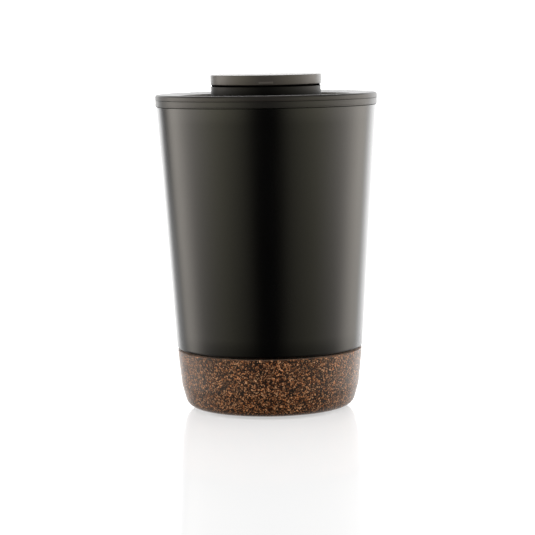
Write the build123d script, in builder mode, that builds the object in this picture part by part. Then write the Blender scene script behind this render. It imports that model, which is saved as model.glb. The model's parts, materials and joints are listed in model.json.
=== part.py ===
from build123d import *
import os

# Travel tumbler, millimetres, Z up, standing on Z = 0, drink slot towards -Y.

# Overall
lid_diameter = 85.5
rim_radius = lid_diameter / 2
knob_top = 129.0

# Cork base and foot pad
cork_bottom = 0.8
cork_top = 23.2
cork_top_radius = 35.85
cork_bend_radius = 34.4
cork_bend_height = 9.5
cork_bend_round = 12.0
cork_heel_radius = 32.0
cork_heel = 4.5
cork_edge = 0.35
cork_cavity_radius = 33.3
cork_cavity_foot_radius = 31.7
cork_cavity_floor = 4.7
pad_recess_radius = 23.7
pad_radius = 23.5
pad_thickness = 1.5
glue_radius = 30.6
glue_thickness = 0.28

# Steel shell
shell_wall = 0.6
spigot_radius = 33.2
spigot_foot_radius = 31.6
spigot_bottom = 5.0
shoulder_height = 23.9
shoulder_radius = 36.0
shoulder_round = 0.9
shell_top_radius = 42.35
shell_top = 117.1
neck_radius = 41.35
neck_bottom = 117.2
neck_top = 118.6
shell_base_radius = 30.98

# Drinking liner
liner_bottom = 9.0
liner_floor = 10.6
liner_bottom_radius = 30.42
liner_inner_bottom_radius = 29.17
liner_wall_top = 116.9
liner_wall_radius = 40.6
mouth_radius = 39.2
rim_top = 119.7
rim_band_radius = 42.7
rim_band_bottom = 117.3
rim_bead_height = 0.5
channel_outer_radius = 41.45
channel_top = 119.3
rim_seal_radius = 41.05
rim_seal_height = 118.95
rim_seal_wire = 0.28

# Lid
flange_bottom = 119.8
crown_top = 121.9
crown_radius = 41.3
shelf_radius = 34.2
shelf_height = 121.1
crown_round = 0.95
deck_top = 118.0
deck_bottom = 116.4
deck_radius = 33.2
boss_inner_radius = 10.0
boss_outer_radius = 12.2
boss_top = 121.6
skirt_top_radius = 38.9
skirt_mid_radius = 38.4
skirt_mid = 114.4
skirt_groove_radius = 36.9
skirt_rib_radius = 37.4
skirt_rib_top = 107.6
skirt_bottom = 105.0
skirt_inner_radius = 35.3
drink_slot_length = 14.0
drink_slot_width = 5.0
slot_centre_radius = 28.6
vent_radius = 1.3
gasket_inner_radius = 36.95
gasket_band_radius = 37.5
gasket_lower_fin = 38.1
gasket_upper_fin = 38.35

# Dish under the lid
dish_bottom = 103.6
dish_floor = 104.8
dish_flange_top = 104.9
dish_flange_radius = 36.8
dish_wall_outer = 35.1
dish_wall_inner = 33.6
dish_wall_top = 109.0
port_radius = 9.0
hub_radius = 6.4
spider_arm = 2.4
spider_top = 105.2
dish_groove_radius = 34.38
dish_groove_bottom = 106.6
dish_groove_top = 107.8
dish_seal_radius = 34.82
dish_seal_wire = 0.42

# Knob
knob_radius = 21.3
cap_bottom = 125.2
cap_ceiling = 126.7
cap_edge = 0.3
cap_wall_inner = 19.4
cap_skirt_outer = 17.5
cap_skirt_inner = 16.3
cap_skirt_bottom = 124.2
tier_radius = 21.15
tier_top = 124.6
tier_bottom = 118.4
tier_inner = 19.3
groove_radius = 20.85
groove_ring_inner = 17.7
groove_ring_top = 125.1
knob_floor_bottom = 122.0
knob_floor_top = 124.0
mark_width = 5.6
mark_height = 0.9
mark_relief = 0.12
mark_bottom = 125.7

# Cam sleeve: 4 mm of lift over a quarter turn
sleeve_radius = 9.85
sleeve_bore = 6.6
sleeve_bottom = 105.9
sleeve_bore_top = 117.0
sleeve_top = 121.8
sleeve_flange_radius = 11.5
sleeve_flange_bottom = 114.9
sleeve_flange_top = 116.3
key_radius = 8.0
key_flat = 12.0
key_top = 123.0
key_clearance = 0.12
oring_groove_radius = 8.7
oring_centre = 120.8
oring_radius = 9.32
oring_wire = 0.6
valve_lift = 4.0
pin_height = 113.0
pin_radius = 1.4
pin_length = 18.6
cam_slot_width = 3.2

# Valve
piston_radius = 6.4
piston_top = 115.8
piston_bottom = 110.6
shank_side = 7.0
shank_bottom = 101.8
guide_side = 7.3
plate_radius = 12.8
plate_bottom = 99.6
seal_seat = 101.2
seal_outer = 12.15
seal_inner = 9.65
seal_top = 103.5
seal_seat_clearance = 0.05

# M3 screws
screw_radius = 1.45
screw_hole = 1.5
screw_clearance_hole = 1.7
head_radius = 2.8
head_height = 1.6
plate_head_height = 1.4
head_recess = 3.0
drive_radius = 1.15
drive_depth = 0.9
knob_screw_tip = 118.2
plate_screw_tip = 107.0


def section(points, rounds=()):
    """Half section from (radius, height) corners; rounds are (radius, height, fillet)."""
    with BuildSketch(Plane.XZ) as half:
        with BuildLine():
            Polyline(*points, close=True)
        make_face()
        for radius, height, size in rounds:
            fillet(half.vertices().sort_by_distance((radius, height, 0))[0], size)
    return half.sketch


def ring_wire(radius, height, wire):
    """Round section of a ring, ready to revolve."""
    with BuildSketch(Plane.XZ) as half:
        with Locations((radius, height)):
            Circle(wire)
    return half.sketch


def save(builder, name):
    builder.part.label = name
    export_step(builder.part, f"parts/{name}.step")


os.makedirs("parts", exist_ok=True)

# ---------------------------------------------------------------- cup

shell_inner_shoulder = shoulder_height + shell_wall
with BuildPart() as outer_shell:
    revolve(
        section(
            [
                (spigot_foot_radius, spigot_bottom),
                (spigot_radius, shoulder_height),
                (shoulder_radius, shoulder_height),
                (shell_top_radius, shell_top),
                (neck_radius, neck_bottom),
                (neck_radius, neck_top),
                (neck_radius - shell_wall, neck_top),
                (neck_radius - shell_wall, neck_bottom - 0.2),
                (shell_top_radius - shell_wall, shell_top - 0.3),
                (shoulder_radius - shell_wall, shell_inner_shoulder),
                (spigot_radius - shell_wall, shell_inner_shoulder),
                (spigot_foot_radius - shell_wall, spigot_bottom),
            ],
            [
                (shoulder_radius, shoulder_height, shoulder_round),
                (shoulder_radius - shell_wall, shell_inner_shoulder, shoulder_round - shell_wall),
            ],
        ),
        axis=Axis.Z,
    )
save(outer_shell, "outer_shell")

with BuildPart() as shell_base:
    with BuildSketch(Plane.XY.offset(spigot_bottom)):
        Circle(shell_base_radius)
    extrude(amount=shell_wall)
save(shell_base, "shell_base")

with BuildPart() as inner_liner:
    revolve(
        section(
            [
                (0, liner_bottom),
                (liner_bottom_radius, liner_bottom),
                (liner_wall_radius, liner_wall_top),
                (liner_wall_radius, channel_top),
                (channel_outer_radius, channel_top),
                (channel_outer_radius, rim_band_bottom),
                (rim_radius, rim_band_bottom),
                (rim_radius, rim_band_bottom + rim_bead_height),
                (rim_band_radius, rim_band_bottom + rim_bead_height + 0.1),
                (rim_band_radius, rim_top),
                (mouth_radius, rim_top),
                (liner_inner_bottom_radius, liner_floor),
                (0, liner_floor),
            ],
            [
                (liner_bottom_radius, liner_bottom, 4.6),
                (liner_inner_bottom_radius, liner_floor, 3.4),
                (mouth_radius, rim_top, 0.4),
                (rim_band_radius, rim_top, 0.1),
                (rim_radius, rim_band_bottom, 0.15),
            ],
        ),
        axis=Axis.Z,
    )
save(inner_liner, "inner_liner")

with BuildPart() as rim_seal:
    revolve(ring_wire(rim_seal_radius, rim_seal_height, rim_seal_wire), axis=Axis.Z)
save(rim_seal, "rim_seal")

with BuildPart() as cork_base:
    revolve(
        section(
            [
                (0, pad_thickness),
                (pad_recess_radius, pad_thickness),
                (pad_recess_radius, cork_bottom),
                (cork_heel_radius, cork_bottom),
                (cork_bend_radius, cork_bend_height),
                (cork_top_radius, cork_top),
                (cork_cavity_radius, cork_top),
                (cork_cavity_foot_radius, cork_cavity_floor),
                (0, cork_cavity_floor),
            ],
            [
                (cork_heel_radius, cork_bottom, cork_heel),
                (cork_bend_radius, cork_bend_height, cork_bend_round),
                (cork_top_radius, cork_top, cork_edge),
            ],
        ),
        axis=Axis.Z,
    )
save(cork_base, "cork_base")

with BuildPart() as base_adhesive:
    with BuildSketch(Plane.XY.offset(cork_cavity_floor)):
        Circle(glue_radius)
    extrude(amount=glue_thickness)
save(base_adhesive, "base_adhesive")

with BuildPart() as foot_pad:
    with BuildSketch(Plane.XY):
        Circle(pad_radius)
    extrude(amount=pad_thickness)
    fillet(foot_pad.edges().group_by(Axis.Z)[0], 0.3)
save(foot_pad, "foot_pad")

# ---------------------------------------------------------------- lid

with BuildPart() as lid_body:
    revolve(
        section(
            [
                (boss_inner_radius, deck_bottom),
                (boss_inner_radius, boss_top),
                (boss_outer_radius, boss_top),
                (boss_outer_radius, deck_top),
                (deck_radius, deck_top),
                (shelf_radius, shelf_height),
                (crown_radius, crown_top),
                (rim_radius, crown_top),
                (rim_radius, flange_bottom),
                (skirt_top_radius, flange_bottom),
                (skirt_mid_radius, skirt_mid),
                (skirt_groove_radius, skirt_mid),
                (skirt_groove_radius, skirt_rib_top),
                (skirt_rib_radius, skirt_rib_top),
                (skirt_groove_radius, skirt_bottom),
                (skirt_inner_radius, skirt_bottom),
                (skirt_inner_radius, deck_bottom),
            ],
            [
                (rim_radius, crown_top, crown_round),
                (crown_radius, crown_top, 1.2),
                (shelf_radius, shelf_height, 0.15),
                (deck_radius, deck_top, 0.8),
                (boss_outer_radius, deck_top, 0.8),
                (rim_radius, flange_bottom, 0.1),
                (skirt_inner_radius, deck_bottom, 1.0),
            ],
        ),
        axis=Axis.Z,
    )
    with BuildSketch(Plane.XY.offset(deck_bottom)):
        with Locations((0, -slot_centre_radius)):
            SlotOverall(drink_slot_length, drink_slot_width)
        with Locations((0, slot_centre_radius)):
            Circle(vent_radius)
    extrude(amount=deck_top - deck_bottom, mode=Mode.SUBTRACT)
save(lid_body, "lid_body")

with BuildPart() as lid_insert:
    revolve(
        section(
            [
                (port_radius, dish_bottom),
                (port_radius, dish_floor),
                (dish_wall_inner, dish_floor),
                (dish_wall_inner, dish_wall_top),
                (dish_wall_outer, dish_wall_top),
                (dish_wall_outer, dish_groove_top),
                (dish_groove_radius, dish_groove_top),
                (dish_groove_radius, dish_groove_bottom),
                (dish_wall_outer, dish_groove_bottom),
                (dish_wall_outer, dish_flange_top),
                (dish_flange_radius, dish_flange_top),
                (dish_flange_radius, dish_bottom),
            ],
            [
                (dish_wall_inner, dish_floor, 1.2),
                (dish_flange_radius, dish_bottom, 0.5),
                (dish_flange_radius, dish_flange_top, 0.4),
            ],
        ),
        axis=Axis.Z,
    )
    with BuildSketch(Plane.XY.offset(dish_bottom)):
        Circle(hub_radius)
        with PolarLocations((hub_radius + port_radius) / 2, 3, start_angle=90):
            Rectangle(port_radius - hub_radius + 1.0, spider_arm)
        Rectangle(guide_side, guide_side, mode=Mode.SUBTRACT)
    extrude(amount=spider_top - dish_bottom)
save(lid_insert, "lid_insert")

with BuildPart() as insert_seal:
    revolve(
        ring_wire(dish_seal_radius, (dish_groove_bottom + dish_groove_top) / 2, dish_seal_wire),
        axis=Axis.Z,
    )
save(insert_seal, "insert_seal")

with BuildPart() as lid_gasket:
    revolve(
        section(
            [
                (gasket_inner_radius, skirt_rib_top + 0.1),
                (gasket_band_radius, skirt_rib_top + 0.1),
                (gasket_band_radius, 108.6),
                (gasket_lower_fin, 109.4),
                (gasket_lower_fin, 109.8),
                (gasket_band_radius, 109.6),
                (gasket_band_radius, 111.4),
                (gasket_upper_fin, 112.2),
                (gasket_upper_fin, 112.6),
                (gasket_band_radius, 112.4),
                (gasket_band_radius, skirt_mid - 0.1),
                (gasket_inner_radius, skirt_mid - 0.1),
            ]
        ),
        axis=Axis.Z,
    )
save(lid_gasket, "lid_gasket")

# ---------------------------------------------------------------- knob

with BuildPart() as knob_cap:
    revolve(
        section(
            [
                (0, knob_top),
                (knob_radius, knob_top),
                (knob_radius, cap_bottom),
                (cap_wall_inner, cap_bottom),
                (cap_wall_inner, cap_ceiling),
                (cap_skirt_outer, cap_ceiling),
                (cap_skirt_outer, cap_skirt_bottom),
                (cap_skirt_inner, cap_skirt_bottom),
                (cap_skirt_inner, cap_ceiling),
                (0, cap_ceiling),
            ],
            [
                (knob_radius, knob_top, cap_edge),
                (knob_radius, cap_bottom, 0.3),
            ],
        ),
        axis=Axis.Z,
    )
    with BuildSketch(Plane.XY.offset(mark_bottom)):
        Circle(knob_radius + mark_relief)
        Circle(knob_radius - 0.3, mode=Mode.SUBTRACT)
        with Locations((0, -knob_radius)):
            Rectangle(mark_width, 2.0, mode=Mode.INTERSECT)
    extrude(amount=mark_height)
save(knob_cap, "knob_cap")

with BuildPart() as knob_body:
    revolve(
        section(
            [
                (screw_clearance_hole, knob_floor_top),
                (groove_ring_inner, knob_floor_top),
                (groove_ring_inner, groove_ring_top),
                (groove_radius, groove_ring_top),
                (groove_radius, tier_top),
                (tier_radius, tier_top),
                (tier_radius, tier_bottom),
                (tier_inner, tier_bottom),
                (tier_inner, knob_floor_bottom),
                (screw_clearance_hole, knob_floor_bottom),
            ],
            [
                (tier_radius, tier_top, 0.15),
                (tier_radius, tier_bottom, 0.4),
                (tier_inner, knob_floor_bottom, 0.8),
            ],
        ),
        axis=Axis.Z,
    )
    with BuildSketch(Plane.XY.offset(knob_floor_bottom)):
        Circle(key_radius + key_clearance)
        Rectangle(
            2 * key_radius + 1,
            key_flat + 2 * key_clearance,
            mode=Mode.INTERSECT,
        )
    extrude(amount=key_top + 0.1 - knob_floor_bottom, mode=Mode.SUBTRACT)
save(knob_body, "knob_body")

# One cam slot: a square bar swept up a right-hand helix, with round ends.
cam_radius = (sleeve_radius + sleeve_bore) / 2
cam_depth = sleeve_radius - sleeve_bore + 2.0
with BuildLine(Plane.XY.offset(pin_height - valve_lift)) as cam_path:
    Helix(pitch=4 * valve_lift, height=valve_lift, radius=cam_radius)
cam_start = cam_path.line @ 0
cam_end = cam_path.line @ 1
with BuildPart() as cam_slot:
    with BuildSketch(
        Plane(origin=cam_start, x_dir=(1, 0, 0), z_dir=cam_path.line % 0)
    ):
        Rectangle(cam_depth, cam_slot_width)
    sweep(path=cam_path.line, is_frenet=True)
    for tip in (cam_start, cam_end):
        with BuildSketch(Plane(origin=(0, 0, tip.Z), z_dir=(tip.X, tip.Y, 0))):
            Circle(cam_slot_width / 2)
        extrude(amount=sleeve_radius + 1.0)

with BuildPart() as cam_sleeve:
    revolve(
        section(
            [
                (sleeve_bore, sleeve_bottom),
                (sleeve_radius, sleeve_bottom),
                (sleeve_radius, sleeve_flange_bottom),
                (sleeve_flange_radius, sleeve_flange_bottom),
                (sleeve_flange_radius, sleeve_flange_top),
                (sleeve_radius, sleeve_flange_top),
                (sleeve_radius, oring_centre - oring_wire - 0.05),
                (oring_groove_radius, oring_centre - oring_wire - 0.05),
                (oring_groove_radius, oring_centre + oring_wire + 0.05),
                (sleeve_radius, oring_centre + oring_wire + 0.05),
                (sleeve_radius, sleeve_top),
                (screw_hole, sleeve_top),
                (screw_hole, sleeve_bore_top),
                (sleeve_bore, sleeve_bore_top),
            ]
        ),
        axis=Axis.Z,
    )
    with BuildSketch(Plane.XY.offset(sleeve_top)):
        Circle(key_radius)
        Rectangle(2 * key_radius + 1, key_flat, mode=Mode.INTERSECT)
        Circle(screw_hole, mode=Mode.SUBTRACT)
    extrude(amount=key_top - sleeve_top)
    add(cam_slot.part.rotate(Axis.Z, -90), mode=Mode.SUBTRACT)
    add(cam_slot.part.rotate(Axis.Z, 90), mode=Mode.SUBTRACT)
save(cam_sleeve, "cam_sleeve")

with BuildPart() as knob_screw:
    revolve(
        section(
            [
                (0, knob_screw_tip),
                (screw_radius, knob_screw_tip),
                (screw_radius, knob_floor_top),
                (head_radius, knob_floor_top),
                (head_radius, knob_floor_top + head_height),
                (0, knob_floor_top + head_height),
            ],
            [
                (screw_radius, knob_screw_tip, 0.4),
                (head_radius, knob_floor_top + head_height, 0.9),
            ],
        ),
        axis=Axis.Z,
    )
    with BuildSketch(Plane.XY.offset(knob_floor_top + head_height)):
        RegularPolygon(drive_radius, 6)
    extrude(amount=-drive_depth, mode=Mode.SUBTRACT)
save(knob_screw, "knob_screw")

with BuildPart() as sleeve_oring:
    revolve(ring_wire(oring_radius, oring_centre, oring_wire), axis=Axis.Z)
save(sleeve_oring, "sleeve_oring")

# ---------------------------------------------------------------- valve

with BuildPart() as valve_stem:
    with BuildSketch(Plane.XY.offset(shank_bottom)):
        RectangleRounded(shank_side, shank_side, 0.5)
    extrude(amount=piston_bottom - shank_bottom)
    with BuildSketch(Plane.XY.offset(piston_bottom)):
        Circle(piston_radius)
    extrude(amount=piston_top - piston_bottom)
    with BuildSketch(Plane.XY.offset(shank_bottom)):
        Circle(screw_hole)
    extrude(amount=plate_screw_tip + 0.4 - shank_bottom, mode=Mode.SUBTRACT)
    with BuildSketch(Plane.YZ):
        with Locations((0, pin_height)):
            Circle(pin_radius)
    extrude(amount=piston_radius + 1, both=True, mode=Mode.SUBTRACT)
save(valve_stem, "valve_stem")

with BuildPart() as cam_pin:
    with BuildSketch(Plane.YZ):
        with Locations((0, pin_height)):
            Circle(pin_radius)
    extrude(amount=pin_length / 2, both=True)
    chamfer(cam_pin.edges().filter_by(GeomType.CIRCLE), 0.2)
save(cam_pin, "cam_pin")

with BuildPart() as valve_plate:
    revolve(
        section(
            [
                (screw_clearance_hole, shank_bottom),
                (screw_clearance_hole, plate_bottom + plate_head_height),
                (head_recess, plate_bottom + plate_head_height),
                (head_recess, plate_bottom),
                (plate_radius, plate_bottom),
                (plate_radius, shank_bottom),
                (seal_outer + seal_seat_clearance, shank_bottom),
                (seal_outer + seal_seat_clearance, seal_seat),
                (seal_inner - seal_seat_clearance, seal_seat),
                (seal_inner - seal_seat_clearance, shank_bottom),
            ],
            [(plate_radius, plate_bottom, 0.7)],
        ),
        axis=Axis.Z,
    )
save(valve_plate, "valve_plate")

with BuildPart() as valve_seal:
    revolve(
        section(
            [
                (seal_inner, seal_seat),
                (seal_outer, seal_seat),
                (seal_outer, seal_top - 0.6),
                (seal_outer - 0.6, seal_top),
                (seal_inner + 0.6, seal_top),
                (seal_inner, seal_top - 0.6),
            ]
        ),
        axis=Axis.Z,
    )
save(valve_seal, "valve_seal")

with BuildPart() as plate_screw:
    revolve(
        section(
            [
                (0, plate_bottom),
                (head_radius, plate_bottom),
                (head_radius, plate_bottom + plate_head_height),
                (screw_radius, plate_bottom + plate_head_height),
                (screw_radius, plate_screw_tip),
                (0, plate_screw_tip),
            ],
            [
                (head_radius, plate_bottom, 0.5),
                (screw_radius, plate_screw_tip, 0.4),
            ],
        ),
        axis=Axis.Z,
    )
    with BuildSketch(Plane.XY.offset(plate_bottom)):
        RegularPolygon(drive_radius, 6)
    extrude(amount=drive_depth, mode=Mode.SUBTRACT)
save(plate_screw, "plate_screw")
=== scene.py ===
"""Looks of the travel tumbler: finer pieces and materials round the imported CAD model, and the studio."""

import json
import math

import bmesh
import bpy
from mathutils import Matrix, Vector, noise


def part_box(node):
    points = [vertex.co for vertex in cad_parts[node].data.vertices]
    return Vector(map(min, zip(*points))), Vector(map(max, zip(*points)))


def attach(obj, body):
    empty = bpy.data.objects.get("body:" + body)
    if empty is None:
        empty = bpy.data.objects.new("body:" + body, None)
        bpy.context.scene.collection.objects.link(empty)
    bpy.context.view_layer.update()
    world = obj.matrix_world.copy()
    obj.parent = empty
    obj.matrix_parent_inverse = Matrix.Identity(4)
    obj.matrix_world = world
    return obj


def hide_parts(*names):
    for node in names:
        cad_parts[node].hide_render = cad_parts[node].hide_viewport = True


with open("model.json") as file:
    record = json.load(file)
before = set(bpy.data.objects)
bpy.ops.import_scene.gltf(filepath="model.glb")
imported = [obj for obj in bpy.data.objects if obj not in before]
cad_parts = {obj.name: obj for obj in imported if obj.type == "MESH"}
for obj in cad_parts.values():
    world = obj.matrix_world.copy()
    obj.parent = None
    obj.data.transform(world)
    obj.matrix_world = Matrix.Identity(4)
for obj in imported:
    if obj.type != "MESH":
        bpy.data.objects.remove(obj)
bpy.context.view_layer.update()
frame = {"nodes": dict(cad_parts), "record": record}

# Blender works in metres. Outlines are written in millimetres, as in the CAD.
MM = 0.001
TURN = 2 * math.pi


def extent(node):
    """Bottom, top and outer radius of a round CAD node in millimetres, to the nearest 0.01."""
    low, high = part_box(node)
    return round(low[2] / MM, 2), round(high[2] / MM, 2), round(high[0] / MM, 2)


SHELL_BOTTOM, SHELL_TOP, SHELL_RADIUS = extent("outer_shell")
LINER_BOTTOM, LINER_TOP, LINER_RADIUS = extent("inner_liner")
CORK_BOTTOM, CORK_TOP, _ = extent("cork_base")
PAD_BOTTOM, PAD_TOP, PAD_RADIUS = extent("foot_pad")
LID_BOTTOM, LID_TOP, LID_RADIUS = extent("lid_body")
GASKET_BOTTOM, GASKET_TOP, GASKET_RADIUS = extent("lid_gasket")
TIER_BOTTOM, GROOVE_RING_TOP, TIER_RADIUS = extent("knob_body")
CAP_SKIRT_BOTTOM, CAP_TOP, CAP_RADIUS = extent("knob_cap")

# Height of the ledge where the knob's lower tier ends and the groove under its cap begins.
TIER_TOP = 124.6


# ------------------------------------------------------------------ camera
# Distances from the foot of the cup's axis are in metres, angles are in degrees, and the lens and
# sensor are in millimetres.
CAMERA_BACK = 0.828
CAMERA_HEIGHT = 0.1437
CAMERA_SIDE = -0.00046
CAMERA_PITCH = 6.164
CAMERA_ROLL = 0.9
CAMERA_LENS = 144.4
CAMERA_SENSOR = 36.0


def add_camera():
    """The photograph's view, from the front and a little above the lid."""
    data = bpy.data.cameras.new("camera")
    data.lens = CAMERA_LENS
    data.sensor_width = CAMERA_SENSOR
    data.clip_start = 0.01
    camera = bpy.data.objects.new("camera", data)
    camera.matrix_world = (
        Matrix.Translation((CAMERA_SIDE, -CAMERA_BACK, CAMERA_HEIGHT))
        @ Matrix.Rotation(math.radians(90 - CAMERA_PITCH), 4, "X")
        @ Matrix.Rotation(math.radians(-CAMERA_ROLL), 4, "Z")
    )
    bpy.context.collection.objects.link(camera)
    bpy.context.scene.camera = camera
    bpy.context.scene.view_settings.view_transform = "Standard"


add_camera()


# ------------------------------------------------------------------ node helpers
class Tree:
    """Adds nodes to one node tree and links them."""

    def __init__(self, tree):
        self.tree = tree

    def add(self, kind, inputs=None, **settings):
        node = self.tree.nodes.new(kind)
        for key, value in settings.items():
            setattr(node, key, value)
        for key, value in (inputs or {}).items():
            self.put(node.inputs[key], value)
        return node

    def put(self, socket, value):
        """Links the socket to another node's output, or sets it to a plain value."""
        if isinstance(value, bpy.types.NodeSocket):
            self.tree.links.new(value, socket)
        else:
            socket.default_value = value

    def combine(self, operation, first, second):
        return self.add("ShaderNodeMath", {0: first, 1: second}, operation=operation).outputs[0]

    def ramp(self, value, stops):
        """Colour by value, from (place, colour) stops in rising order."""
        node = self.add("ShaderNodeValToRGB", {"Fac": value})
        elements = node.color_ramp.elements
        while len(elements) < len(stops):
            elements.new(0.5)
        for element, (place, colour) in zip(elements, stops):
            element.position = place
            element.color = (*colour, 1.0)
        return node.outputs["Color"]

    def remap(self, value, start, end, low, high, **settings):
        """Goes from low to high as the value goes from start to end."""
        limits = {"From Min": start, "From Max": end, "To Min": low, "To Max": high}
        node = self.add("ShaderNodeMapRange", {"Value": value, **limits}, **settings)
        return node.outputs["Result"]

    def fade(self, value, start, end, low, high):
        return self.remap(value, start, end, low, high, interpolation_type="SMOOTHSTEP")


class Surface(Tree):
    """One material's node tree, with the textures that the materials share."""

    SOCKETS = {
        "colour": "Base Color",
        "rough": "Roughness",
        "metal": "Metallic",
        "normal": "Normal",
        "specular": "Specular IOR Level",
        "sheen": "Sheen Weight",
        "sheen_tint": "Sheen Tint",
        "glow": "Emission Color",
        "glow_power": "Emission Strength",
    }

    def __init__(self, name):
        self.material = bpy.data.materials.new(name)
        self.material.use_nodes = True
        super().__init__(self.material.node_tree)
        self.shader = self.tree.nodes["Principled BSDF"]

    def position(self, stretch=None):
        """Place on the object in metres, scaled along each axis by stretch."""
        coords = self.add("ShaderNodeTexCoord").outputs["Object"]
        if stretch is None:
            return coords
        return self.add("ShaderNodeMapping", {"Vector": coords, "Scale": stretch}).outputs[0]

    def noise(self, scale, detail=3.0, roughness=0.5, vector=None):
        node = self.add(
            "ShaderNodeTexNoise",
            {
                "Vector": vector or self.position(),
                "Scale": scale,
                "Detail": detail,
                "Roughness": roughness,
            },
        )
        return node.outputs["Fac"]

    def spread(self, value, low, high, start=0.3, end=0.7):
        """Noise to a useful range: most of a noise lies between 0.3 and 0.7."""
        return self.remap(value, start, end, low, high)

    def tones(self, value, dark, light):
        """Colour from dark to light over the middle of a noise."""
        return self.ramp(value, [(0.3, dark), (0.7, light)])

    def mix(self, factor, first, second, blend="MIX"):
        node = self.add("ShaderNodeMix", data_type="RGBA", blend_type=blend)
        factor_socket, first_socket, second_socket = node.inputs[0], node.inputs[6], node.inputs[7]
        self.put(factor_socket, factor)
        self.put(first_socket, first)
        self.put(second_socket, second)
        return node.outputs[2]

    def bump(self, height, distance, normal=None):
        """Surface relief with a depth of distance metres, on top of another normal if given."""
        node = self.add("ShaderNodeBump", {"Height": height, "Distance": distance})
        if normal:
            self.put(node.inputs["Normal"], normal)
        return node.outputs["Normal"]

    def finish(self, **inputs):
        for key, value in inputs.items():
            self.put(self.shader.inputs[self.SOCKETS[key]], value)
        return self.material


# ------------------------------------------------------------------ materials
# A noise scale of 1000 makes features about 1 mm across.
def moulded(name, dark, light, rough, grain, depth):
    """Moulded plastic: faint flow marks in the colour and a fine spark-eroded skin."""
    surface = Surface(name)
    flow = surface.noise(scale=60.0, detail=3.0, roughness=0.55)
    skin = surface.noise(scale=grain, detail=2.0, roughness=0.6)
    smudge = surface.noise(scale=220.0, detail=4.0, roughness=0.6)
    return surface.finish(
        colour=surface.tones(flow, dark, light),
        rough=surface.spread(smudge, low=rough - 0.02, high=rough + 0.025),
        normal=surface.bump(skin, distance=depth),
    )


def lacquer():
    """Satin black lacquer: orange peel, fine dust, and rub marks that run up the wall."""
    surface = Surface("shell_lacquer")
    peel = surface.noise(scale=900.0, detail=2.0)
    dust = surface.noise(scale=5200.0, detail=2.0, roughness=0.6)
    cloud = surface.noise(scale=24.0, detail=3.0)
    drawn_out = surface.position((1.0, 1.0, 0.25))
    rub = surface.noise(scale=70.0, detail=5.0, roughness=0.65, vector=drawn_out)
    return surface.finish(
        colour=surface.tones(cloud, dark=(0.0006, 0.0005, 0.0005), light=(0.0011, 0.001, 0.0009)),
        rough=surface.spread(rub, low=0.22, high=0.28),
        normal=surface.bump(dust, distance=4e-6, normal=surface.bump(peel, distance=6e-6)),
    )


CORK_LARGE_GRAINS = [
    (0.0, (0.006, 0.0014, 0.0003)),
    (0.6, (0.016, 0.0042, 0.0011)),
    (0.7, (0.2, 0.062, 0.017)),
    (0.82, (0.68, 0.26, 0.088)),
    (1.0, (1.0, 0.56, 0.29)),
]
CORK_SMALL_GRAINS = [
    (0.0, (0.005, 0.001, 0.0002)),
    (0.61, (0.016, 0.0042, 0.0011)),
    (0.79, (0.62, 0.235, 0.08)),
    (1.0, (1.0, 0.58, 0.31)),
]
CORK_TONES = [
    (0.35, (0.62, 0.58, 0.56)),
    (0.65, (1.1, 1.04, 1.0)),
]


def cork():
    """Dark granular cork: pale grains of two sizes in a dark binder, with darker seams between."""
    large_scale = 1900.0
    small_scale = 2800.0
    warp_distance = 0.0002
    surface = Surface("cork")
    where = surface.position()
    warp = surface.add("ShaderNodeTexNoise", {"Vector": where, "Scale": 900.0, "Detail": 2.0})
    shift = surface.add(
        "ShaderNodeVectorMath",
        {0: warp.outputs["Color"], 1: (warp_distance,) * 3},
        operation="MULTIPLY",
    )
    warped = surface.add("ShaderNodeVectorMath", {0: where, 1: shift.outputs[0]}, operation="ADD")

    def cells(scale, **settings):
        vector = warped.outputs[0]
        return surface.add("ShaderNodeTexVoronoi", {"Vector": vector, "Scale": scale}, **settings)

    large = surface.add("ShaderNodeSeparateColor", {"Color": cells(large_scale).outputs["Color"]})
    small = surface.add("ShaderNodeSeparateColor", {"Color": cells(small_scale).outputs["Color"]})
    seams = cells(large_scale, feature="DISTANCE_TO_EDGE").outputs["Distance"]
    grains = surface.mix(
        surface.spread(surface.noise(scale=700.0, detail=2.0), low=0.0, high=1.0, start=0.42, end=0.58),
        surface.ramp(large.outputs["Red"], CORK_LARGE_GRAINS),
        surface.ramp(small.outputs["Green"], CORK_SMALL_GRAINS),
    )
    seam_shade = surface.spread(seams, low=0.35, high=1.0, start=0.0, end=0.12)
    patches = surface.ramp(surface.noise(scale=380.0, detail=2.0), CORK_TONES)
    colour = surface.mix(1.0, grains, seam_shade, "MULTIPLY")
    colour = surface.mix(1.0, colour, patches, "MULTIPLY")
    relief = surface.bump(seams, distance=6e-5)
    crumbs = surface.noise(scale=3500.0, detail=4.0, roughness=0.7)
    relief = surface.bump(crumbs, distance=3e-5, normal=relief)
    return surface.finish(
        colour=colour,
        rough=surface.spread(surface.noise(scale=1300.0), low=0.26, high=0.4),
        normal=relief,
        specular=0.4,
        sheen=0.3,
        sheen_tint=(1.0, 0.72, 0.55, 1.0),
    )


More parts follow.
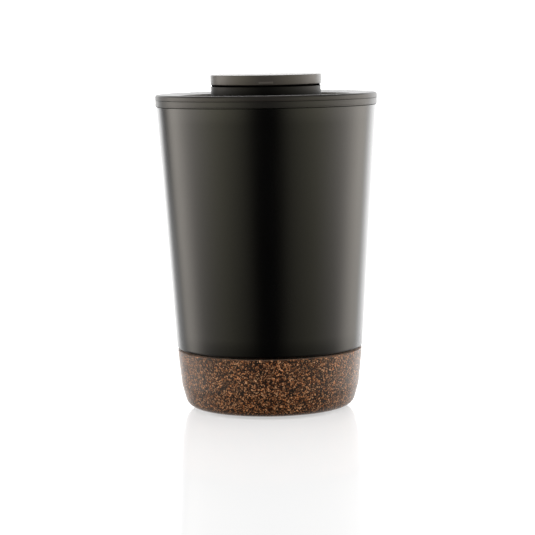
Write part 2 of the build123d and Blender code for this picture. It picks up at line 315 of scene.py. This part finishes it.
def knob_tier_plastic():
    """Black plastic whose sheen is faded out by height: painted shade in the groove under the cap and down
    by the deck.
    """
    shade_full_below = TIER_TOP - 5.1
    shade_clear_above = TIER_TOP - 1.0
    groove_edge = TIER_TOP - 0.15
    surface = Surface("knob_tier_plastic")
    skin = surface.noise(scale=3400.0, detail=2.0, roughness=0.6)
    flow = surface.noise(scale=60.0, detail=3.0, roughness=0.55)
    height = surface.add("ShaderNodeSeparateXYZ", {"Vector": surface.position()}).outputs["Z"]
    # Painted shade: the specular level drops to nothing in the groove under the cap and fades low towards
    # the deck, by height alone.
    below_groove = surface.remap(height, start=groove_edge * MM, end=TIER_TOP * MM, low=1.0, high=0.0)
    above_deck = surface.remap(height, start=shade_full_below * MM, end=shade_clear_above * MM, low=0.1, high=1.0)
    unshaded_part = surface.combine("MULTIPLY", below_groove, above_deck)
    return surface.finish(
        colour=surface.tones(flow, dark=(0.0012, 0.001, 0.0008), light=(0.002, 0.0017, 0.0014)),
        rough=surface.spread(skin, low=0.42, high=0.5),
        normal=surface.bump(skin, distance=6e-6),
        specular=surface.remap(unshaded_part, start=0.0, end=1.0, low=0.0, high=0.2),
    )


def steel():
    """Brushed steel with lines that run up the part."""
    surface = Surface("steel")
    drawn_out = surface.position((1.0, 1.0, 0.04))
    lines = surface.noise(scale=1500.0, detail=4.0, roughness=0.6, vector=drawn_out)
    return surface.finish(
        colour=surface.tones(lines, dark=(0.42, 0.41, 0.4), light=(0.62, 0.61, 0.59)),
        rough=surface.spread(lines, low=0.2, high=0.36),
        normal=surface.bump(lines, distance=6e-6),
        metal=1.0,
    )


def rubbery(name, dark, light):
    """Silicone, glue or pad: a cloudy bloom over a fine matt skin."""
    surface = Surface(name)
    bloom = surface.noise(scale=160.0, detail=4.0, roughness=0.6)
    skin = surface.noise(scale=2600.0, detail=3.0, roughness=0.6)
    return surface.finish(
        colour=surface.tones(bloom, dark, light),
        rough=surface.spread(bloom, low=0.46, high=0.6),
        normal=surface.bump(skin, distance=1e-5),
        sheen=0.05,
    )


def floor_paint():
    """Glossy white sweep that glows a little, so that it stays pale under the object."""
    surface = Surface("floor_white")
    mottle = surface.noise(scale=3.0, detail=2.0)
    return surface.finish(
        colour=surface.tones(mottle, dark=(0.52, 0.52, 0.52), light=(0.55, 0.55, 0.55)),
        rough=surface.spread(mottle, low=0.07, high=0.09),
        normal=surface.bump(surface.noise(scale=30.0, detail=2.0), distance=1e-5),
        specular=0.07,
        glow=(1.0, 1.0, 1.0, 1.0),
        glow_power=0.5,
    )


SHELL = lacquer()
CORK = cork()
STEEL = steel()
SILICONE = rubbery("silicone", dark=(0.045, 0.045, 0.046), light=(0.075, 0.075, 0.076))
GLUE = rubbery("adhesive", dark=(0.24, 0.23, 0.2), light=(0.33, 0.31, 0.27))
PAD = rubbery("pad", dark=(0.02, 0.02, 0.02), light=(0.035, 0.034, 0.033))
LINER = moulded(
    "liner_plastic",
    dark=(0.008, 0.0068, 0.0056),
    light=(0.012, 0.0102, 0.0085),
    rough=0.36,
    grain=4200.0,
    depth=6e-6,
)
LID = moulded(
    "lid_plastic",
    dark=(0.0155, 0.0125, 0.01),
    light=(0.021, 0.017, 0.014),
    rough=0.39,
    grain=3800.0,
    depth=5e-6,
)
KNOB = moulded(
    "knob_plastic",
    dark=(0.05, 0.042, 0.034),
    light=(0.064, 0.054, 0.045),
    rough=0.38,
    grain=3000.0,
    depth=1.2e-5,
)
TIER = knob_tier_plastic()
MARK = moulded(
    "mark_plastic",
    dark=(0.085, 0.073, 0.062),
    light=(0.11, 0.095, 0.08),
    rough=0.45,
    grain=3000.0,
    depth=1.2e-5,
)
VALVE = moulded(
    "valve_plastic",
    dark=(0.09, 0.09, 0.09),
    light=(0.13, 0.13, 0.13),
    rough=0.33,
    grain=3400.0,
    depth=6e-6,
)
BY_SLOT = {
    "shell_lacquer": SHELL,
    "steel": STEEL,
    "liner_plastic": LINER,
    "lid_plastic": LID,
    "knob_plastic": KNOB,
    "valve_plastic": VALVE,
    "silicone": SILICONE,
    "cork": CORK,
    "adhesive": GLUE,
    "pad": PAD,
}


def paint_cad_nodes():
    """Gives every CAD node the material of its slot in the record."""
    for entry in frame["record"]["subparts"]:
        node = frame["nodes"][entry["node"]]
        node.data.materials.clear()
        node.data.materials.append(BY_SLOT[entry["material_slot"]])


paint_cad_nodes()


# ------------------------------------------------------------------ geometry helpers
# Steps round a full turn of the cup and lid, the knob, the pad and the cork.
SEGMENTS = 288
KNOB_SEGMENTS = 256
PAD_SEGMENTS = 192
CORK_SEGMENTS = 540
# Edges sharper than this, in degrees, are shaded as edges.
SHARP_ANGLE = 30.0
# Outline points nearer to the axis than this, in millimetres, are poles.
ON_AXIS = 1e-6


def rounded(corners, steps):
    """Outline through (radius, height, fillet) corners in millimetres, fillets turned into arcs."""
    outline = []
    count = len(corners)
    for i, (radius, height, fillet) in enumerate(corners):
        here = Vector((radius, height))
        if not fillet:
            outline.append(here)
            continue
        before = Vector(corners[i - 1][:2]) - here
        after = Vector(corners[(i + 1) % count][:2]) - here
        before.normalize()
        after.normalize()
        half = before.angle(after) / 2
        centre = here + (before + after).normalized() * (fillet / math.sin(half))
        start = here + before * (fillet / math.tan(half)) - centre
        end = here + after * (fillet / math.tan(half)) - centre
        turn = start.angle_signed(end)
        for k in range(steps + 1):
            outline.append(centre + Matrix.Rotation(-turn * k / steps, 2) @ start)
    return outline


def split(outline, longest):
    """The closed outline with points added so that no run is longer than longest."""
    fine = []
    for start, end in zip(outline, outline[1:] + outline[:1]):
        parts = max(1, math.ceil((end - start).length / longest))
        fine += [start.lerp(end, k / parts) for k in range(parts)]
    return fine


def add_piece(name, bm):
    """Makes a linked object from the bmesh, with its faces turned outward, and frees the bmesh."""
    bmesh.ops.recalc_face_normals(bm, faces=bm.faces)
    mesh = bpy.data.meshes.new(name)
    bm.to_mesh(mesh)
    bm.free()
    piece = bpy.data.objects.new(name, mesh)
    bpy.context.collection.objects.link(piece)
    return piece


def lathe(name, corners, longest, segments=SEGMENTS, steps=6, sharp=SHARP_ANGLE):
    """Closed outline of (radius, height, fillet) corners turned about Z. Radius 0 becomes a pole.

    Points are added so that no run of the outline is longer than longest. Each fillet's arc has
    that many steps, and edges sharper than sharp degrees are shaded as edges.
    """
    bm = bmesh.new()
    rings = []
    for radius, height in split(rounded(corners, steps), longest):
        if radius < ON_AXIS:
            rings.append([bm.verts.new((0.0, 0.0, height * MM))])
            continue
        ring = []
        for k in range(segments):
            x = radius * math.cos(TURN * k / segments)
            y = radius * math.sin(TURN * k / segments)
            ring.append(bm.verts.new((x * MM, y * MM, height * MM)))
        rings.append(ring)
    for near, far in zip(rings, rings[1:] + rings[:1]):
        if len(near) == 1 and len(far) == 1:
            continue
        for k in range(segments):
            face = []
            for ring, step in ((near, k), (near, k + 1), (far, k + 1), (far, k)):
                vert = ring[step % len(ring)]
                if vert not in face:
                    face.append(vert)
            bm.faces.new(face)
    piece = add_piece(name, bm)
    piece.data.shade_smooth()
    piece.data.set_sharp_from_angle(angle=math.radians(sharp))
    return piece


def prism(name, outline, low, high):
    """Solid block from a closed outline of (x, y) millimetres between two heights."""
    bm = bmesh.new()
    bottom = [bm.verts.new((x * MM, y * MM, low * MM)) for x, y in outline]
    top = [bm.verts.new((x * MM, y * MM, high * MM)) for x, y in outline]
    bm.faces.new(bottom)
    bm.faces.new(top)
    for k in range(len(outline)):
        following = (k + 1) % len(outline)
        bm.faces.new([bottom[k], bottom[following], top[following], top[k]])
    return add_piece(name, bm)


def stadium(y, length, width, steps=24):
    """Outline of a slot along X with round ends, centred at (0, y)."""
    outline = []
    for k in range(2 * steps):
        angle = TURN * (k + 0.5) / (2 * steps)
        shift = (length - width) / 2 * (1 if math.cos(angle) > 0 else -1)
        outline.append((shift + width / 2 * math.cos(angle), y + width / 2 * math.sin(angle)))
    return outline


def cut(piece, cutters):
    """Subtracts the cutters for good, then removes them."""
    for cutter in cutters:
        modifier = piece.modifiers.new("cut", "BOOLEAN")
        modifier.object = cutter
        modifier.solver = "EXACT"
        graph = bpy.context.evaluated_depsgraph_get()
        mesh = bpy.data.meshes.new_from_object(piece.evaluated_get(graph))
        piece.modifiers.clear()
        piece.data = mesh
    for cutter in cutters:
        bpy.data.objects.remove(cutter)
    piece.data.set_sharp_from_angle(angle=math.radians(SHARP_ANGLE))


def dress(piece, material, slot, body, *nodes):
    """Gives the piece its material and body, and the CAD nodes that it stands for."""
    piece.data.materials.clear()
    piece.data.materials.append(material)
    if nodes:
        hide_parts(*nodes)
    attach(piece, body)


# ------------------------------------------------------------------ cup
def make_shell():
    """Conical metal wall, rolled in at the shoulder over a spigot, with a narrower neck on top."""
    wall = 0.6
    spigot_radius = 33.2
    spigot_foot_radius = 31.6
    shoulder_radius = 36.0
    shoulder_height = 23.9
    neck_radius = 41.35
    cone_top = 117.1
    piece = lathe(
        "shell",
        [
            (spigot_foot_radius, SHELL_BOTTOM, 0),
            (spigot_radius, shoulder_height, 0),
            (shoulder_radius, shoulder_height, 0.9),
            (SHELL_RADIUS, cone_top, 0.06),
            (neck_radius, cone_top + 0.1, 0),
            (neck_radius, SHELL_TOP, 0.15),
            (neck_radius - wall, SHELL_TOP, 0.15),
            (neck_radius - wall, cone_top - 0.1, 0),
            (SHELL_RADIUS - wall, cone_top - 0.3, 0),
            (shoulder_radius - wall, shoulder_height + wall, 0.3),
            (spigot_radius - wall, shoulder_height + wall, 0),
            (spigot_foot_radius - wall, SHELL_BOTTOM, 0),
        ],
        longest=6.0,
    )
    dress(piece, SHELL, "shell_lacquer", "cup", "outer_shell")


def make_liner():
    """Plastic drinking liner: its rim turns over the shell's neck and shows as the dark band."""
    foot_radius = 30.42
    foot_inner_radius = 29.17
    floor_top = LINER_BOTTOM + 1.6
    wall_radius = 40.6
    wall_top = 116.9
    channel_radius = 41.45
    channel_top = 119.3
    band_radius = LINER_RADIUS - 0.05
    band_bottom = 117.3
    bead_top = band_bottom + 0.5
    mouth_radius = 39.2
    piece = lathe(
        "liner",
        [
            (0, LINER_BOTTOM, 0),
            (foot_radius, LINER_BOTTOM, 4.6),
            (wall_radius, wall_top, 0),
            (wall_radius, channel_top, 0.1),
            (channel_radius, channel_top, 0.1),
            (channel_radius, band_bottom, 0.15),
            (LINER_RADIUS, band_bottom, 0.12),
            (LINER_RADIUS, bead_top, 0.04),
            (band_radius, bead_top + 0.1, 0.04),
            (band_radius, LINER_TOP, 0.06),
            (mouth_radius, LINER_TOP, 0.4),
            (foot_inner_radius, floor_top, 3.4),
            (0, floor_top, 0),
        ],
        longest=8.0,
    )
    dress(piece, LINER, "liner_plastic", "cup", "inner_liner")


# Longest step on the cork's surface, about the size of a grain.
CORK_PITCH = 0.42
PAD_RECESS_RADIUS = 23.7
CORK_CAVITY_RADIUS = 33.3
CORK_CAVITY_FLOOR = 4.7


def make_cork():
    """Cork cup with a rounded heel, a cavity for the spigot and a recess for the foot pad."""
    heel_radius = 32.0
    bend_radius = 34.4
    bend_height = 9.5
    top_radius = 35.85
    cavity_foot_radius = 31.7
    piece = lathe(
        "cork_cup",
        [
            (PAD_RECESS_RADIUS, CORK_BOTTOM, 0.3),
            (heel_radius, CORK_BOTTOM, 4.5),
            (bend_radius, bend_height, 12.0),
            (top_radius, CORK_TOP, 0.35),
            (CORK_CAVITY_RADIUS, CORK_TOP, 0.2),
            (cavity_foot_radius, CORK_CAVITY_FLOOR, 0),
            (PAD_RECESS_RADIUS, CORK_CAVITY_FLOOR, 0),
        ],
        longest=CORK_PITCH,
        segments=CORK_SEGMENTS,
        steps=24,
        sharp=70.0,
    )
    sink_grain(piece.data.vertices)
    dress(piece, CORK, "cork", "cup", "cork_base")


def is_smooth_cork(here, normal):
    """True in the pad's recess and on the cavity's wall, where the cork meets other pieces."""
    margin = 0.2
    radius = math.hypot(here.x, here.y) / MM
    above_floor = here.z / MM > CORK_CAVITY_FLOOR - margin / 2
    faces_inward = normal.x * here.x + normal.y * here.y < 0
    in_recess = radius < PAD_RECESS_RADIUS + margin
    in_cavity = radius < CORK_CAVITY_RADIUS + margin and above_floor and faces_inward
    return in_recess or in_cavity


def sink_grain(vertices):
    """Sinks grains and pits into the cork, so that nothing stands out past its smooth shape."""
    deepest = 0.07 * MM
    grain_depth = 0.5 * deepest
    pit_depth = 1.1 * deepest
    coarse_scale = 1500.0
    fine_scale = 3100.0
    coarse_share = 0.6
    pit_scale = 620.0
    pit_offset = Vector((7.0, 3.0, 1.0))
    pit_threshold = 0.35
    normals = [vert.normal.copy() for vert in vertices]
    for vert, normal in zip(vertices, normals):
        here = vert.co.copy()
        if is_smooth_cork(here, normal):
            continue
        grain = noise.noise(here * coarse_scale) * coarse_share
        grain += noise.noise(here * fine_scale) * (1.0 - coarse_share)
        pit = (noise.noise(here * pit_scale + pit_offset) - pit_threshold) / (1.0 - pit_threshold)
        depth = max(0.0, grain) * grain_depth + max(0.0, pit) * pit_depth
        vert.co = here - normal * min(depth, deepest)


def make_pad():
    """Round non-slip pad in the cork's recess."""
    piece = lathe(
        "pad",
        [
            (0, PAD_BOTTOM, 0),
            (PAD_RADIUS, PAD_BOTTOM, 0.3),
            (PAD_RADIUS, PAD_TOP, 0),
            (0, PAD_TOP, 0),
        ],
        longest=4.0,
        segments=PAD_SEGMENTS,
    )
    dress(piece, PAD, "pad", "cup", "foot_pad")


make_shell()
make_liner()
make_cork()
make_pad()


# ------------------------------------------------------------------ lid
def make_lid():
    """Press-in lid: sloping crown, recessed deck with a centre boss, and a skirt for the gasket."""
    deck_bottom = 116.4
    deck_top = 118.0
    deck_radius = 33.2
    boss_inner_radius = 10.0
    boss_outer_radius = 12.2
    boss_top = LID_TOP - 0.3
    shelf_radius = 34.2
    shelf_height = LID_TOP - 0.8
    crown_radius = 41.3
    flange_bottom = 119.8
    skirt_top_radius = 38.9
    skirt_foot_radius = 38.4
    groove_radius = 36.9
    groove_top = 114.4
    groove_bottom = 107.6
    rib_radius = 37.4
    skirt_inner_radius = 35.3
    piece = lathe(
        "lid_shell",
        [
            (boss_inner_radius, deck_bottom, 0.1),
            (boss_inner_radius, boss_top, 0.25),
            (boss_outer_radius, boss_top, 0.25),
            (boss_outer_radius, deck_top, 0.8),
            (deck_radius, deck_top, 0.8),
            (shelf_radius, shelf_height, 0.15),
            (crown_radius, LID_TOP, 1.2),
            (LID_RADIUS, LID_TOP, 0.95),
            (LID_RADIUS, flange_bottom, 0.06),
            (skirt_top_radius, flange_bottom, 0.1),
            (skirt_foot_radius, groove_top, 0.2),
            (groove_radius, groove_top, 0),
            (groove_radius, groove_bottom, 0),
            (rib_radius, groove_bottom, 0.15),
            (groove_radius, LID_BOTTOM, 0.3),
            (skirt_inner_radius, LID_BOTTOM, 0.2),
            (skirt_inner_radius, deck_bottom, 1.0),
        ],
        longest=6.0,
    )
    cut_deck(piece, low=deck_bottom - 1.4, high=deck_top + 1.0)
    dress(piece, LID, "lid_plastic", "lid", "lid_body")


def cut_deck(piece, low, high):
    """Cuts the drink slot through the deck on the -Y side and a round vent opposite."""
    hole_radius = 28.6
    slot_length = 14.0
    slot_width = 5.0
    vent_width = 2.6
    slot = stadium(-hole_radius, slot_length, slot_width)
    vent = stadium(hole_radius, vent_width, vent_width)
    cut(piece, [prism("slot_cutter", slot, low, high), prism("vent_cutter", vent, low, high)])


def make_gasket():
    """Silicone band in the skirt's groove with two upturned fins."""
    inner_radius = 36.95
    band_radius = 37.5
    # Height of each fin's foot, and radius of its tip.
    fins = [(108.6, 38.1), (111.4, GASKET_RADIUS)]
    corners = [
        (inner_radius, GASKET_BOTTOM, 0.1),
        (band_radius, GASKET_BOTTOM, 0.15),
    ]
    for fin_foot, fin_radius in fins:
        corners += [
            (band_radius, fin_foot, 0.2),
            (fin_radius, fin_foot + 0.8, 0.1),
            (fin_radius, fin_foot + 1.2, 0.1),
            (band_radius, fin_foot + 1.0, 0.1),
        ]
    corners += [
        (band_radius, GASKET_TOP, 0.15),
        (inner_radius, GASKET_TOP, 0.1),
    ]
    piece = lathe("gasket", corners, longest=8.0, steps=3)
    dress(piece, SILICONE, "silicone", "lid", "lid_gasket")


make_lid()
make_gasket()


# ------------------------------------------------------------------ knob
def make_cap():
    """Upper disc of the knob, hollow underneath, with a skirt that locates it in the tier."""
    bottom = 125.2
    ceiling = 126.7
    wall_inner_radius = 19.4
    skirt_outer_radius = 17.5
    skirt_inner_radius = 16.3
    piece = lathe(
        "knob_disc",
        [
            (0, CAP_TOP, 0),
            (CAP_RADIUS, CAP_TOP, 0.28),
            (CAP_RADIUS, bottom, 0.3),
            (wall_inner_radius, bottom, 0),
            (wall_inner_radius, ceiling, 0.2),
            (skirt_outer_radius, ceiling, 0.2),
            (skirt_outer_radius, CAP_SKIRT_BOTTOM, 0.15),
            (skirt_inner_radius, CAP_SKIRT_BOTTOM, 0.15),
            (skirt_inner_radius, ceiling, 0.2),
            (0, ceiling, 0),
        ],
        longest=3.0,
        segments=KNOB_SEGMENTS,
    )
    dress(piece, KNOB, "knob_plastic", "knob", "knob_cap")


def make_tier():
    """Lower tier of the knob, with a narrower ring on top that makes the dark groove."""
    screw_hole_radius = 1.7
    floor_bottom = 122.0
    floor_top = 124.0
    ring_inner_radius = 17.7
    groove_radius = 20.85
    wall_inner_radius = 19.3
    key_radius = 8.1
    key_top = 123.1
    piece = lathe(
        "knob_tier",
        [
            (screw_hole_radius, floor_top, 0),
            (ring_inner_radius, floor_top, 0.2),
            (ring_inner_radius, GROOVE_RING_TOP, 0.1),
            (groove_radius, GROOVE_RING_TOP, 0.1),
            (groove_radius, TIER_TOP, 0.05),
            (TIER_RADIUS, TIER_TOP, 0.15),
            (TIER_RADIUS, TIER_BOTTOM, 0.4),
            (wall_inner_radius, TIER_BOTTOM, 0.3),
            (wall_inner_radius, floor_bottom, 0.8),
            (key_radius, floor_bottom, 0),
            (key_radius, key_top, 0),
            (screw_hole_radius, key_top, 0),
        ],
        longest=3.0,
        segments=KNOB_SEGMENTS,
    )
    dress(piece, TIER, "lid_plastic", "knob", "knob_body")


def make_index_mark():
    """Plain raised bar on the cap's front, chamfered on all sides, with its edges inside the cap."""
    half_width = 2.8
    low = 125.75
    high = 126.55
    face = CAP_RADIUS + 0.11
    root = CAP_RADIUS - 0.03
    chamfer = 0.1
    end_chamfer = 0.25
    half_columns = 6
    rows = [(low, root), (low + chamfer, face), (high - chamfer, face), (high, root)]
    bm = bmesh.new()
    columns = []
    for k in range(-half_columns, half_columns + 1):
        x = half_width * k / half_columns
        proud = min(1.0, (half_width - abs(x)) / end_chamfer)
        column = []
        for z, outer in rows:
            radius = root + (outer - root) * proud
            y = -math.sqrt(radius * radius - x * x)
            column.append(bm.verts.new((x * MM, y * MM, z * MM)))
        columns.append(column)
    for left, right in zip(columns, columns[1:]):
        for k in range(len(rows) - 1):
            bm.faces.new([left[k], left[k + 1], right[k + 1], right[k]])
    dress(add_piece("index_mark", bm), MARK, "knob_plastic", "knob")


make_cap()
make_tier()
make_index_mark()


# ------------------------------------------------------------------ floor
# In metres. The gap keeps the floor clear of the pad's underside.
FLOOR_HALF_SIDE = 6.0
FLOOR_GAP = 0.00002


def add_floor():
    """Floor that only the camera sees directly: reflections and diffuse light see the world instead."""
    bm = bmesh.new()
    bmesh.ops.create_grid(bm, x_segments=1, y_segments=1, size=FLOOR_HALF_SIDE)
    mesh = bpy.data.meshes.new("floor")
    bm.to_mesh(mesh)
    bm.free()
    floor = bpy.data.objects.new("floor", mesh)
    floor.location.z = -FLOOR_GAP
    bpy.context.collection.objects.link(floor)
    floor.data.materials.append(floor_paint())
    floor.visible_glossy = False
    floor.visible_diffuse = False


add_floor()


# ------------------------------------------------------------------ studio light
FRONT = (1.0, 0.95, 0.73)
SIDE = (1.0, 0.94, 0.86)
BACK = (1.0, 1.0, 1.0)
# Softboxes round the object: (bearing, brightness, tint). A bearing is in degrees, 0 towards the
# camera and positive to the right. The light blends from one entry to the next, and straight behind
# the object, past the first and last entries, it is even.
SOFTBOXES = [
    (-163, 0.46, BACK),
    (-156, 0.5, BACK),
    (-148, 0.36, BACK),
    (-143, 0.16, BACK),
    (-139, 0.05, BACK),
    (-132, 0.03, SIDE),
    (-127, 0.16, SIDE),
    (-121, 0.46, SIDE),
    (-114, 0.6, SIDE),
    (-105, 0.62, SIDE),
    (-90, 0.48, SIDE),
    (-54, 0.3, FRONT),
    (-28, 0.13, FRONT),
    (-12, 0.0, FRONT),
    (12, 0.0, FRONT),
    (28, 0.13, FRONT),
    (54, 0.25, FRONT),
    (90, 0.48, SIDE),
    (105, 0.6, SIDE),
    (119, 0.58, SIDE),
    (126, 0.42, SIDE),
    (131, 0.3, SIDE),
    (137, 0.42, BACK),
    (144, 0.55, BACK),
    (154, 0.48, BACK),
    (163, 0.42, BACK),
    (170, 0.46, BACK),
]
SOFTBOX_POWER = 5.0
DOME_POWER = 1.0
BACKDROP_POWER = 1.3
WHITE = (1.0, 1.0, 1.0, 1.0)


def softbox_colour(sky, right, toward):
    """Colour of the softboxes by bearing."""
    bearing = sky.combine("ARCTAN2", right, toward)
    share = sky.remap(bearing, start=-math.pi, end=math.pi, low=0.0, high=1.0)
    stops = []
    for degrees, brightness, tint in SOFTBOXES:
        stops.append(((degrees + 180) / 360, [brightness * part for part in tint]))
    return sky.ramp(share, stops)


def softbox_level(sky, up, toward):
    """Strength of the softboxes by height, which runs from -1, straight down, to 1, straight up."""
    # The softboxes end above the object, and the ones behind it reach higher.
    rear = sky.fade(toward, start=-0.9, end=-0.6, low=1.0, high=0.0)
    low_end = sky.fade(up, start=0.22, end=0.62, low=1.0, high=0.08)
    high_end = sky.fade(up, start=0.6, end=0.95, low=1.0, high=0.2)
    top = sky.combine("MAXIMUM", low_end, sky.combine("MULTIPLY", rear, high_end))
    # Below the horizon the light stands for the table, and it is dimmer the steeper it looks down.
    shallow = sky.fade(up, start=-0.42, end=-0.27, low=0.4, high=1.0)
    steep = sky.fade(up, start=-0.92, end=-0.66, low=0.05, high=1.0)
    table = sky.combine("MULTIPLY", shallow, steep)
    # The table in front of the object is darker than the table beside and behind it.
    in_front = sky.fade(toward, start=-0.35, end=0.1, low=0.0, high=1.0)
    front_light = sky.fade(up, start=-0.27, end=-0.14, low=0.42, high=1.0)
    front_shade = sky.combine("MULTIPLY", in_front, sky.combine("SUBTRACT", 1.0, front_light))
    # What lies above the table is brighter than the table.
    slope = sky.fade(up, start=-0.28, end=-0.08, low=0.72, high=1.25)
    level = sky.combine("MULTIPLY", top, table)
    level = sky.combine("MULTIPLY", level, sky.combine("SUBTRACT", 1.0, front_shade))
    level = sky.combine("MULTIPLY", level, slope)
    return sky.combine("MULTIPLY", level, SOFTBOX_POWER)


def table_glow(sky, up, toward):
    """Least brightness of the table behind the object, which fills the gaps between softboxes."""
    behind = sky.fade(toward, start=-0.7, end=-0.45, low=0.22, high=0.0)
    below_horizon = sky.fade(up, start=-0.17, end=-0.085, low=1.0, high=0.0)
    return sky.combine("MULTIPLY", behind, below_horizon)


def light_studio():
    """World light: softboxes in reflections, a soft dome for diffuse light, white for the camera."""
    world = bpy.data.worlds.new("studio")
    world.use_nodes = True
    bpy.context.scene.world = world
    world.node_tree.nodes.clear()
    sky = Tree(world.node_tree)
    direction = sky.add("ShaderNodeTexCoord").outputs["Generated"]
    axes = sky.add("ShaderNodeSeparateXYZ", {0: direction})
    right = axes.outputs["X"]
    up = axes.outputs["Z"]
    toward = sky.combine("MULTIPLY", axes.outputs["Y"], -1.0)
    rays = sky.add("ShaderNodeLightPath")

    def background(colour, strength):
        node = sky.add("ShaderNodeBackground", {"Color": colour, "Strength": strength})
        return node.outputs[0]

    def choose(ray, otherwise, chosen):
        node = sky.add("ShaderNodeMixShader", {0: rays.outputs[ray], 1: otherwise, 2: chosen})
        return node.outputs[0]

    colour = sky.add(
        "ShaderNodeVectorMath",
        {0: softbox_colour(sky, right, toward), 1: table_glow(sky, up, toward)},
        operation="MAXIMUM",
    )
    softboxes = background(colour.outputs[0], softbox_level(sky, up, toward))
    dome = background(WHITE, sky.fade(up, start=-0.65, end=0.05, low=0.04, high=DOME_POWER))
    backdrop = background(WHITE, BACKDROP_POWER)
    lit = choose("Is Glossy Ray", dome, softboxes)
    seen = choose("Is Camera Ray", lit, backdrop)
    sky.add("ShaderNodeOutputWorld", {"Surface": seen})


light_studio()
